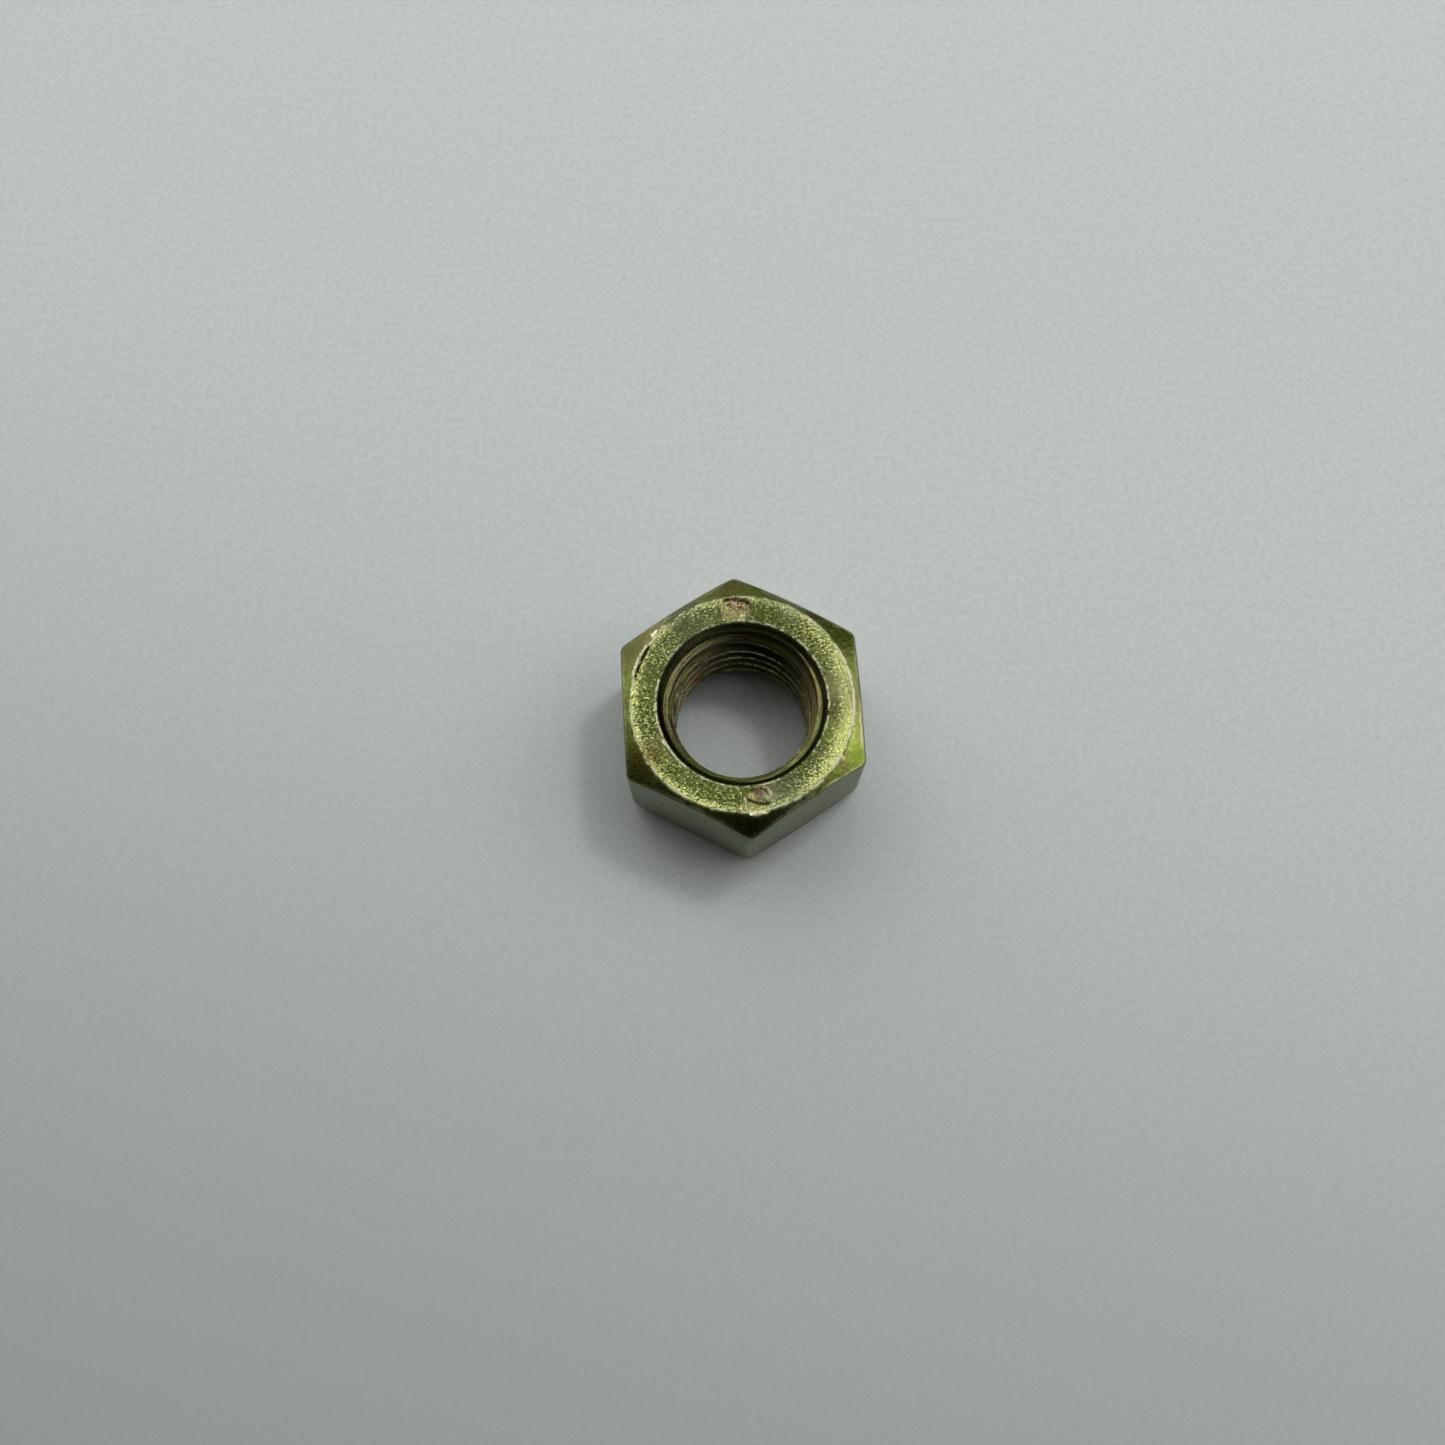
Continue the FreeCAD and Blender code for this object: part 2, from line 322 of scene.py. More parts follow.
@dataclass(frozen=True)
class Scratch:
    """Straight bright scratch in the upper face, from one point to another."""

    first: tuple[float, float]
    last: tuple[float, float]
    width: float = 0.09
    brightness: float = 0.75

    def strength(self, x: Array, y: Array) -> Array:
        """Measure how strongly the scratch shows.

        Args:
            x: places along +X.
            y: places along +Y.

        Returns:
            Values from 0 to the scratch's brightness.
        """
        run = (self.last[0] - self.first[0], self.last[1] - self.first[1])
        share = ((x - self.first[0]) * run[0] + (y - self.first[1]) * run[1]) / (run[0] ** 2 + run[1] ** 2)
        share = np.clip(share, 0, 1)
        away = np.hypot(x - self.first[0] - share * run[0], y - self.first[1] - share * run[1])
        return self.brightness * bell(away, self.width)


@dataclass(frozen=True)
class StainAndLightPatch:
    """Patch of another colour: some are passivation tints, and some are painted shade, painted reflection
    and painted highlight.
    """

    turn: float
    distance: float
    depth: float
    size: float
    colour: Colour
    strength: float = 0.8

    def place(self) -> Array:
        """Centre of the patch, measured from the middle of the upper face."""
        turn = math.radians(self.turn)
        return np.array([self.distance * math.sin(turn), self.distance * math.cos(turn), -self.depth])


class NodeBench:
    """Adds and joins the nodes of one shader tree."""

    def __init__(self, tree: bpy.types.NodeTree) -> None:
        """Start from an empty tree."""
        self.tree = tree
        tree.nodes.clear()

    def node(self, kind: str, inputs: dict[str | int, Input], **settings: object) -> bpy.types.Node:
        """Add one node.

        Args:
            kind: the node's type.
            inputs: a value or a socket to join for each named input.
            settings: other properties of the node.

        Returns:
            The new node.
        """
        made = self.tree.nodes.new(kind)
        for name, value in settings.items():
            setattr(made, name, value)
        for name, value in inputs.items():
            if isinstance(value, bpy.types.NodeSocket):
                self.tree.links.new(value, made.inputs[name])
            else:
                made.inputs[name].default_value = value
        return made

    def math(self, operation: str, *values: Input) -> bpy.types.NodeSocket:
        """Join a math node and return its result."""
        return self.node("ShaderNodeMath", dict(enumerate(values)), operation=operation).outputs[0]

    def mix(self, share: Input, first: Input, second: Input) -> bpy.types.NodeSocket:
        """Blend two colours and return the result."""
        inputs = {0: share, 6: opaque(first), 7: opaque(second)}
        return self.node("ShaderNodeMix", inputs, data_type="RGBA").outputs[2]

    def rise(self, value: Input, low: float, high: float, top: float = 1.0,
             base: float = 0.0) -> bpy.types.NodeSocket:
        """Map a value smoothly from between low and high to between base and top."""
        inputs = {"Value": value, "From Min": low, "From Max": high, "To Min": base, "To Max": top}
        return self.node("ShaderNodeMapRange", inputs, interpolation_type="SMOOTHSTEP").outputs[0]

    def attribute(self, name: str) -> bpy.types.Node:
        """Read one of the mesh's own attributes."""
        return self.node("ShaderNodeAttribute", {}, attribute_name=name)

    def amount(self, name: str, share: float = 1.0) -> bpy.types.NodeSocket:
        """Read an attribute that holds one number and take a share of it."""
        value = self.attribute(name).outputs["Fac"]
        return value if share == 1.0 else self.math("MULTIPLY", value, share)

    def place(self) -> bpy.types.NodeSocket:
        """Give the shaded place in the object's own millimetres."""
        place = self.node("ShaderNodeTexCoord", {}).outputs["Object"]
        return self.node("ShaderNodeVectorMath", {0: place, "Scale": 1 / MM}, operation="SCALE").outputs[0]

    def noise(self, vector: Input, scale: float, detail: float = 2.0, rough: float = 0.5,
              distortion: float = 0.0) -> bpy.types.NodeSocket:
        """Add a noise texture and return its value, about 0.3 to 0.7."""
        inputs = {"Vector": vector, "Scale": scale, "Detail": detail, "Roughness": rough,
                  "Distortion": distortion}
        return self.node("ShaderNodeTexNoise", inputs).outputs[0]

    def stretched(self, vector: Input, turn: tuple, scale: tuple) -> bpy.types.NodeSocket:
        """Turn and stretch a vector, angles in degrees."""
        inputs = {"Vector": vector, "Rotation": tuple(math.radians(a) for a in turn), "Scale": scale}
        return self.node("ShaderNodeMapping", inputs).outputs[0]


def opaque(value: Input) -> Input:
    """Add full opacity to a plain colour and leave a socket as it is."""
    return (*value, 1.0) if isinstance(value, tuple) else value


@dataclass(frozen=True)
class YellowZinc:
    """Yellow-passivated zinc plate: speckled on the faces, smoother on chamfers, streaked in the thread,
    with painted shade in the mouth, grooves and recesses and painted glints on the faces.
    """

    name: str = "yellow_zinc"
    olive: Colour = (0.17, 0.23, 0.035)
    moss: Colour = (0.03, 0.05, 0.005)
    straw: Colour = (0.90, 0.95, 0.35)
    steel: Colour = (0.24, 0.275, 0.11)
    chamfer_green: Colour = (0.17, 0.22, 0.035)
    chamfer_brown: Colour = (0.15, 0.115, 0.045)
    flat_grey: Colour = (0.24, 0.275, 0.18)
    flat_brown: Colour = (0.235, 0.205, 0.14)
    flat_dark: Colour = (0.14, 0.155, 0.09)
    flat_light: Colour = (0.38, 0.41, 0.28)
    # painted shade: the countersink is coloured near-black for the shade and dark reflections inside it
    mouth_painted_shade: Colour = (0.012, 0.014, 0.005)
    thread_khaki: Colour = (0.30, 0.29, 0.13)
    thread_copper: Colour = (0.06, 0.035, 0.014)
    worn: Colour = (0.95, 0.95, 0.60)
    mark_rose: Colour = (0.95, 0.68, 0.42)
    mark_brown: Colour = (0.09, 0.07, 0.015)
    # painted shade colour for the grooves, the punch marks' folds and the dent
    painted_shade_black: Colour = (0.012, 0.010, 0.005)

    def build(self) -> bpy.types.Material:
        """Make the material.

        Returns:
            A material that reads the nut's region, wear, mark, shade and colour-patch attributes.
        """
        material = bpy.data.materials.new(self.name)
        material.use_nodes = True
        bench = NodeBench(material.node_tree)
        place = bench.place()
        specks_and_glints = self.specks_and_glints(bench, place)
        streaks = self.streaks(bench, place)
        colour = self.colour(bench, place, specks_and_glints, streaks)
        rough = self.roughness(bench, place, specks_and_glints)
        normal = self.relief(bench, place, specks_and_glints, streaks)
        metal = bench.math("SUBTRACT", 0.95, bench.amount("wear", 0.7))
        shader = bench.node("ShaderNodeBsdfPrincipled", {
            "Base Color": colour, "Roughness": rough, "Normal": normal, "Metallic": metal})
        bench.node("ShaderNodeOutputMaterial", {"Surface": shader.outputs[0]})
        return material

    def specks_and_glints(self, bench: NodeBench, place: bpy.types.NodeSocket) -> bpy.types.NodeSocket:
        """Draw bright specks and short hairs that lie every way: partly the plate's own specks, partly
        painted glints, thickest on the face's side towards the window.

        Args:
            bench: the material's nodes.
            place: the shaded place, in millimetres.

        Returns:
            A value of 0 between the specks and 1 on them.
        """
        best: Input = 0.0
        for turn, scale in ((35, (3.0, 6.5, 3.0)), (-50, (3.2, 7.0, 3.0)), (95, (2.8, 5.5, 3.0))):
            lie = bench.stretched(place, (0, 0, turn), scale)
            best = bench.math("MAXIMUM", best, bench.noise(lie, 1.0, 2.0, 0.55, 0.4))
        # painted highlight: the face's side towards the window gets more bright specks
        return bench.rise(bench.math("ADD", best, bench.amount("rubbed_and_glint", 0.225)), 0.565, 0.65)

    def drawn(self, bench: NodeBench, place: bpy.types.NodeSocket) -> bpy.types.NodeSocket:
        """Faint lines along the bar that the blank was drawn to, about 0.3 to 0.7."""
        return bench.noise(bench.stretched(place, (0, 0, 0), (5.0, 5.0, 0.5)), 1.0, 4.0, 0.65)

    def streaks(self, bench: NodeBench, place: bpy.types.NodeSocket) -> bpy.types.NodeSocket:
        """Draw tool lines that follow the thread.

        Args:
            bench: the material's nodes.
            place: the shaded place, in millimetres.

        Returns:
            A value that runs from about 0.3 to 0.7 across the lines.
        """
        x, y, z = bench.node("ShaderNodeSeparateXYZ", {0: place}).outputs
        turn = bench.math("ARCTAN2", x, y)
        along = bench.math("ADD", bench.math("MULTIPLY", z, math.pi), turn)
        squares = [bench.math("MULTIPLY", side, side) for side in (x, y)]
        radius = bench.math("SQRT", bench.math("ADD", *squares))
        inputs = {0: bench.math("MULTIPLY", bench.math("COSINE", along), 4.0),
                  1: bench.math("MULTIPLY", bench.math("SINE", along), 4.0),
                  2: bench.math("MULTIPLY", radius, 9.0)}
        lines = bench.node("ShaderNodeCombineXYZ", inputs).outputs[0]
        drift = bench.math("MULTIPLY", bench.math("ADD", x, y), 0.12)
        return bench.node("ShaderNodeTexNoise", {"Vector": lines, "W": drift, "Scale": 1.6, "Detail": 3.0},
                          noise_dimensions="4D").outputs[0]

    def colour(self, bench: NodeBench, place: bpy.types.NodeSocket, specks_and_glints: bpy.types.NodeSocket,
               streaks: bpy.types.NodeSocket) -> bpy.types.NodeSocket:
        """Blend the regions' colours, then marks, colour patches (real tints, painted shade and painted
        highlights), wear and dents over them.

        Args:
            bench: the material's nodes.
            place: the shaded place, in millimetres.
            specks_and_glints: where the bright specks are.
            streaks: the thread's tool lines.

        Returns:
            The base colour.
        """
        cloud = bench.noise(place, 0.45, 3.0, 0.55, 0.4)
        speck = bench.noise(place, 3.0, 4.0, 0.7, 0.3)
        face = bench.mix(bench.rise(speck, 0.42, 0.56), self.moss, self.olive)
        face = bench.mix(bench.rise(cloud, 0.46, 0.64, 0.5), face, self.steel)
        # the straw specks are partly the plate's own and partly painted glints
        face = bench.mix(specks_and_glints, face, self.straw)
        chamfer = bench.mix(bench.rise(cloud, 0.40, 0.60, 0.75), self.chamfer_green, self.chamfer_brown)
        chamfer = bench.mix(bench.rise(speck, 0.5, 0.75, 0.35), chamfer, self.straw)
        drawn = self.drawn(bench, place)
        flat = bench.mix(bench.rise(cloud, 0.38, 0.66, 0.5), self.flat_grey, self.flat_brown)
        flat = bench.mix(bench.rise(drawn, 0.42, 0.66, 0.45), flat, self.flat_dark)
        flat = bench.mix(bench.rise(speck, 0.48, 0.66, 0.4), flat, self.flat_light)
        flat = bench.mix(bench.amount("rubbed_and_glint"), flat, self.flat_brown)
        bore = bench.mix(bench.rise(streaks, 0.44, 0.56), self.thread_copper, self.thread_khaki)
        bore = bench.mix(bench.rise(cloud, 0.45, 0.6, 0.5), bore, self.chamfer_green)
        # painted shade: the upper grooves are blended towards black where the ridges shade them
        bore = bench.mix(bench.amount("groove", 0.9), bore, self.painted_shade_black)
        colour = face
        tints = {Region.CHAMFER: chamfer, Region.FLAT: flat, Region.MOUTH: self.mouth_painted_shade,
                 Region.BORE: bore}
        for region, tint in tints.items():
            colour = bench.mix(bench.amount(region.value), colour, tint)
        dimple = bench.noise(place, 3.2, 3.0, 0.6, 1.0)
        marked = bench.mix(bench.rise(dimple, 0.43, 0.49), self.mark_brown, self.mark_rose)
        marked = bench.mix(bench.rise(cloud, 0.48, 0.56, 0.7), marked, self.straw)
        colour = bench.mix(bench.amount("mark", 0.85), colour, marked)
        # colour patches: real passivation tints, plus painted shade in the bore and mouth, a painted
        # reflection on the near chamfer and painted highlights on the face
        patchy = bench.math("MULTIPLY", bench.amount("stain_and_light_share"), bench.rise(speck, 0.36, 0.56, 1.0, 0.45))
        colour = bench.mix(patchy, colour, bench.attribute("stain_and_light").outputs["Color"])
        colour = bench.mix(self.wear(bench, speck), colour, self.worn)
        # painted shade in the punch marks' folds and inside the dent
        return bench.mix(bench.amount("painted_recess_shade"), colour, self.painted_shade_black)

    def wear(self, bench: NodeBench, speck: bpy.types.NodeSocket) -> bpy.types.NodeSocket:
        """Break the rims' wear up into specks.

        Args:
            bench: the material's nodes.
            speck: fine noise.

        Returns:
            How far the plate is worn bright.
        """
        worn = bench.amount("wear")
        broken = bench.math("ADD", worn, bench.math("MULTIPLY", bench.math("SUBTRACT", speck, 0.5), 2.6))
        return bench.math("MULTIPLY", bench.rise(broken, 0.3, 0.85), bench.rise(worn, 0.02, 0.3))

    def roughness(self, bench: NodeBench, place: bpy.types.NodeSocket,
                  specks_and_glints: bpy.types.NodeSocket) -> bpy.types.NodeSocket:
        """Make the plate satin all over, duller on the flats and a little brighter along the hairs.

        Args:
            bench: the material's nodes.
            place: the shaded place, in millimetres.
            specks_and_glints: where the bright specks are.

        Returns:
            The roughness.
        """
        blotch = bench.noise(place, 1.3, 3.0, 0.6)
        rough = bench.rise(blotch, 0.35, 0.65, 0.36, 0.24)
        rough = bench.math("SUBTRACT", rough, bench.math("MULTIPLY", specks_and_glints, 0.08))
        changes = {Region.CHAMFER: -0.08, Region.FLAT: 0.16, Region.MOUTH: -0.06, Region.BORE: -0.08}
        for region, change in changes.items():
            rough = bench.math("ADD", rough, bench.amount(region.value, change))
        return rough

    def relief(self, bench: NodeBench, place: bpy.types.NodeSocket, specks_and_glints: bpy.types.NodeSocket,
               streaks: bpy.types.NodeSocket) -> bpy.types.NodeSocket:
        """Raise fine pits and hairs on the faces, and tool lines on the flats and in the thread.

        Args:
            bench: the material's nodes.
            place: the shaded place, in millimetres.
            specks_and_glints: where the bright specks are.
            streaks: the thread's tool lines.

        Returns:
            The bumped normal.
        """
        pits = bench.noise(place, 5.5, 4.0, 0.7, 0.4)
        lumps = bench.noise(place, 1.6, 2.0, 0.5)
        height = bench.math("ADD", bench.math("MULTIPLY", pits, 1.1), bench.math("MULTIPLY", specks_and_glints, 0.4))
        height = bench.math("ADD", height, bench.math("MULTIPLY", lumps, 1.0))
        calm: Input = 1.0
        for region in Region:
            calm = bench.math("SUBTRACT", calm, bench.amount(region.value, 0.9))
        height = bench.math("MULTIPLY", height, calm)
        tool_lines = ((streaks, Region.BORE, 0.5), (self.drawn(bench, place), Region.FLAT, 0.12))
        for lines, region, share in tool_lines:
            lines = bench.math("MULTIPLY", lines, bench.amount(region.value, share))
            height = bench.math("ADD", height, lines)
        inputs = {"Height": height, "Strength": 1.0, "Distance": 0.12 * MM}
        return bench.node("ShaderNodeBump", inputs).outputs[0]


@dataclass(frozen=True)
class Paper:
    """Pale grey matt paper with a faint grain."""

    name: str = "pale_paper"
    tone: Colour = (0.70, 0.74, 0.72)
    shade: Colour = (0.62, 0.66, 0.64)
    # painted shade colour that the paper darkens to towards the viewer and the left
    painted_viewer_shade: Colour = (0.44, 0.475, 0.45)
    haze: Colour = (0.47, 0.485, 0.475)
    unlit: Colour = (0.0, 0.0, 0.0)

    def build(self) -> bpy.types.Material:
        """Make the paper's material, which fades into the room's skyline far away from the nut.

        Returns:
            The material.
        """
        material = bpy.data.materials.new(self.name)
        material.use_nodes = True
        bench = NodeBench(material.node_tree)
        place = bench.place()
        pulp = bench.noise(place, 1.6, 5.0, 0.65)
        colour = bench.mix(bench.rise(pulp, 0.3, 0.7), self.shade, self.tone)
        x, y, _ = bench.node("ShaderNodeSeparateXYZ", {0: place}).outputs
        across = bench.math("ADD", bench.math("MULTIPLY", x, 0.35), y)
        # painted shade: the paper darkens towards the viewer and the left
        colour = bench.mix(bench.rise(across, 40.0, -110.0), colour, self.painted_viewer_shade)
        bump = {"Height": pulp, "Strength": 0.5, "Distance": 0.06 * MM}
        normal = bench.node("ShaderNodeBump", bump).outputs[0]
        distance = bench.node("ShaderNodeVectorMath", {0: place}, operation="LENGTH").outputs["Value"]
        far = bench.rise(distance, 220.0, 800.0)
        shader = bench.node("ShaderNodeBsdfPrincipled", {
            "Base Color": bench.mix(far, colour, self.unlit), "Roughness": 0.85, "Specular IOR Level": 0.2,
            "Normal": normal, "Emission Color": opaque(self.haze), "Emission Strength": far})
        bench.node("ShaderNodeOutputMaterial", {"Surface": shader.outputs[0]})
        return material


@dataclass
class Skin:
    """What is known of every vertex while the skin is worked; x, y and place stay as they began."""

    radius: Array
    turn: Array
    height: Array
    depth: Array
    x: Array
    y: Array
    place: Array
    inset: Array
    flat: Array
    bore: Array
    upper: Array
    coarse: Array
    fine: Array
    wear: Array
    mark: Array
    painted_recess_shade: Array

    def places(self) -> Array:
        """Turn the worked skin into places in X, Y and Z."""
        turn = np.radians(self.turn)
        return np.stack([self.radius * np.sin(turn), self.radius * np.cos(turn), self.height], -1)


@dataclass
class HexNut:
    """The nut's skin as one closed mesh of columns round the axis and rows round the section."""

    outline: Hexagon
    height: float
    thread: Thread
    upper: EndChamfer
    lower: EndChamfer
    marks: tuple[PunchMark, ...]
    dents: tuple[RimDent, ...]
    scratches: tuple[Scratch, ...]
    stains_and_light: tuple[StainAndLightPatch, ...]
    mouth: float = 8.66
    mouth_foot: float = 0.8
    lower_mouth: float = 8.8
    skin: float = 0.025
    edge_round: float = 0.16
    columns: int = 500
    lower_rim: float = 0.35
    shelf_fall: float = 0.035
    snap: float = 0.02
    inner_rim: float = 8.68
    outer_rim: float = 11.24
    turns: Array = field(init=False)

    def __post_init__(self) -> None:
        """Lay out the columns, closer together where there is more to show."""
        sample = np.arange(0, 360, 0.02)
        density = np.ones_like(sample)
        for mark in self.marks:
            density += 2.2 * bell(turn_gap(sample, mark.turn), 9)
        for dent in self.dents:
            density += 1.2 * bell(turn_gap(sample, (dent.first_turn + dent.last_turn) / 2), 12)
        for corner in range(0, 360, 60):
            density += 3.0 * (np.abs(turn_gap(sample, corner)) < 2.3)
        share = np.cumsum(density) / density.sum()
        self.turns = np.interp((np.arange(self.columns) + 0.5) / self.columns, share, sample)

    def top_depth(self, radius: Array) -> Array:
        """Measure the upper end before it is marked.

        Args:
            radius: distances from the axis.

        Returns:
            The depth of the surface at each radius.
        """
        flat = soft_min(np.full_like(radius, -self.skin), -self.upper.drop(radius), 0.09)
        cone = (self.mouth - radius) * self.mouth_foot / (self.mouth - self.thread.root)
        return soft_max(-flat, cone, 0.3)

    def bottom_height(self, radius: Array) -> Array:
        """Height of the lower end's plain surface at each radius."""
        chamfer = soft_max(np.zeros_like(radius), self.lower.drop(radius), 0.08)
        return soft_max(chamfer, self.lower_mouth - radius, 0.2)

    def outside(self) -> tuple[Array, Array]:
        """Rows from the foot of the upper mouth, over the outside, to the lower mouth.

        Returns:
            Radius and height of every vertex, by row and column.
        """
        edge = self.outline.radius(self.turns)
        bite = self.edge_round
        rows: list[tuple[Array, Array]] = []
        rim_in = np.array([8.0, 8.15, 8.3, 8.42, 8.5, 8.56, 8.62, 8.68, 8.74, 8.8, 8.86, 8.93, 9.01])
        rim_out = np.array([11.07, 11.13, 11.17, 11.21, 11.25, 11.29, 11.33, 11.38, 11.45])
        turns = np.radians(self.turns)
        circle = np.stack([np.sin(turns), np.cos(turns), np.zeros_like(edge)], -1)
        wobble = 0.05 * grain(circle, 3.0, 6) + 0.035 * grain(circle, 11.0, 7)
        for radius in np.concatenate([rim_in, np.linspace(9.09, 11.0, 27), rim_out]):
            ring = np.full_like(edge, radius)
            near_rim = bell(radius - 11.25, 0.4) + 0.6 * bell(radius - 8.66, 0.3)
            rows.append((ring + wobble * near_rim, self.height - self.top_depth(ring)))
        for share in (0.12, 0.27, 0.42, 0.57, 0.72, 0.86, 1.0):
            first = rim_out[-1] + wobble * (1 - share)
            ring = first + (edge - bite - first) * share
            rows.append((ring, self.height - self.upper.drop(ring)))
        top_edge = self.height - self.upper.drop(edge)
        bottom_edge = self.lower.drop(edge)
        chamfer_end = self.height - self.upper.drop(edge - bite)
        rows += self.turned_edge(edge, top_edge, chamfer_end, top_edge - bite)
        high, low = top_edge - bite, bottom_edge + bite
        shares = (0.008, 0.03, 0.08, 0.15, 0.23, 0.31, 0.4, 0.5, 0.6, 0.69, 0.77, 0.85, 0.92, 0.97, 0.992)
        rows += [(edge, high + (low - high) * share) for share in shares]
        rows += [(edge, low)]
        rows += self.turned_edge(edge, bottom_edge, self.lower.drop(edge - bite), low)[-2::-1]
        for share in (1.0, 0.8, 0.6, 0.4, 0.2):
            ring = 11.42 + (edge - bite - 11.42) * share
            rows.append((ring, self.lower.drop(ring)))
        radii = (11.36, 11.3, 11.25, 11.2, 11.1, 10.7, 10.2, 9.7, 9.2, 8.95, 8.86, 8.78, 8.7, 8.62, 8.54)
        for radius in radii:
            ring = np.full_like(edge, radius)
            rows.append((ring, self.bottom_height(ring)))
        ring = np.full_like(edge, self.lower_mouth - self.lower_rim)
        rows.append((ring, np.full_like(edge, self.lower_rim)))
        return np.array([row[0] for row in rows]), np.array([row[1] for row in rows])

    def turned_edge(self, edge: Array, corner: Array, inner: Array,
                    wall: Array) -> list[tuple[Array, Array]]:
        """Round the edge between a chamfer and a flat.

        Args:
            edge: radius of the flat in each direction.
            corner: height where the sharp edge would be.
            inner: height where the rounding leaves the chamfer.
            wall: height where the rounding meets the flat.

        Returns:
            Rows from just off the chamfer to the flat.
        """
        rows = []
        for t in (0.25, 0.5, 0.75, 1.0):
            radius = edge - self.edge_round * (1 - t) ** 2
            height = inner * (1 - t) ** 2 + 2 * corner * t * (1 - t) + wall * t ** 2
            rows.append((radius, height))
        return rows

    def inside(self) -> tuple[Array, Array]:
        """Rows down the thread, which follow its helix past both ends of the bore.

        Returns:
            Radius and depth below the upper face, by row and column.
        """
        radii, depths = [], []
        for groove in range(-1, 8):
            unwound = self.turns + 360 * groove
            steps, radius = self.thread.section(unwound)
            middle = self.thread.groove_depth(unwound)
            if groove < 0:
                radius = np.full_like(radius, self.thread.root)
            radii.append(radius)
            depths.append(middle + steps)
        depth = np.concatenate(depths)
        radius = np.concatenate(radii)
        cone = self.lower_mouth - (self.height - depth)
        return soft_max(radius, cone, 0.1), depth

    def shell(self) -> tuple[Array, Array]:
        """Join all rows into one closed skin.

        Returns:
            Vertices as radius, turn and height, and quads of vertex numbers, some of which repeat a corner.
        """
        ring_r, ring_z = self.outside()
        wall_r, wall_depth = self.inside()
        start = self.mouth_foot + self.shelf_fall
        end = self.height - self.lower_rim
        shelf_r, shelf_z = self.shelf(self.wall_radius_at(wall_r, wall_depth, start))
        fixed_r = np.concatenate([ring_r, shelf_r])
        fixed_z = np.concatenate([ring_z, shelf_z])
        fixed = np.arange(fixed_r.size).reshape(fixed_r.shape)
        outer, shelf = fixed[:len(ring_r)], fixed[len(ring_r):]

        above = wall_depth <= start + self.snap
        below = wall_depth >= end - self.snap
        free = ~(above | below)
        number = np.where(above, shelf[-1], outer[-1])
        number[free] = fixed.size + np.arange(free.sum())
        per_pitch = self.thread.rows_per_pitch
        one_turn_on = np.concatenate([number[per_pitch:, 0], np.full(per_pitch, outer[-1, 0])])
        grid = np.concatenate([number, one_turn_on[:, None]], 1)
        wall = np.stack([grid[:-1, :-1], grid[1:, :-1], grid[1:, 1:], grid[:-1, 1:]], -1).reshape(-1, 4)

        faces = [self.quads(outer), self.quads(np.concatenate([shelf[::-1], outer[:1]])), wall]
        fixed_turns = np.tile(self.turns, (len(fixed_r), 1))
        wall_turns = np.tile(self.turns, (len(wall_r), 1))
        vertices = [np.stack([fixed_r, fixed_turns, fixed_z], -1).reshape(-1, 3),
                    np.stack([wall_r[free], wall_turns[free], self.height - wall_depth[free]], -1)]
        return np.concatenate(vertices), np.concatenate(faces)

    def shelf(self, inner: Array) -> tuple[Array, Array]:
        """Rows of the narrow step between the upper mouth's foot and the first ridge.

        Args:
            inner: radius of the wall where the step ends, by column.

        Returns:
            Radius and height of every vertex, by row and column.
        """
        shares = np.array([0.34, 0.67, 1.0])[:, None]
        radius = self.thread.root + (inner - self.thread.root) * shares
        height = self.height - self.mouth_foot - self.shelf_fall * shares ** 2
        return radius, np.broadcast_to(height, radius.shape)

    def wall_radius_at(self, wall_r: Array, wall_depth: Array, depth: float) -> Array:
        """Radius of the bore's wall at one depth in every column."""
        return np.array([np.interp(depth, wall_depth[:, k], wall_r[:, k]) for k in range(self.columns)])

    def quads(self, rows: Array) -> Array:
        """Join neighbouring rows of vertices that close round the axis.

        Args:
            rows: vertex numbers, by row and column.

        Returns:
            The vertex numbers of each face's four corners.
        """
        after = np.roll(rows, -1, axis=1)
        faces = np.stack([rows[:-1], after[:-1], after[1:], rows[1:]], -1)
        return faces.reshape(-1, 4)

    def worked(self, vertices: Array) -> tuple[Array, dict[str, Array]]:
        """Sink the marks and dents, roughen the skin and work out what each place looks like.

        Args:
            vertices: radius, turn and height of each vertex.

        Returns:
            Places in X, Y and Z, and the values of each surface attribute.
        """
        skin = self.survey(vertices)
        for mark in self.marks:
            self.strike(skin, mark)
        for dent in self.dents:
            self.knock(skin, dent)
        unwound = (skin.depth - self.thread.first_depth) * 360 / self.thread.pitch - 180
        crest = bell(skin.radius - self.thread.ridge(unwound), 0.05) * skin.bore * step(skin.depth, 2.2, 3.0)
        skin.wear = np.maximum(skin.wear, np.clip(0.6 + skin.fine + skin.coarse, 0, 1) * 0.7 * crest)
        for scratch in self.scratches:
            skin.wear = np.maximum(skin.wear, np.where(skin.upper, scratch.strength(skin.x, skin.y), 0))
        self.roughen(skin)
        return skin.places(), self.layers(skin)

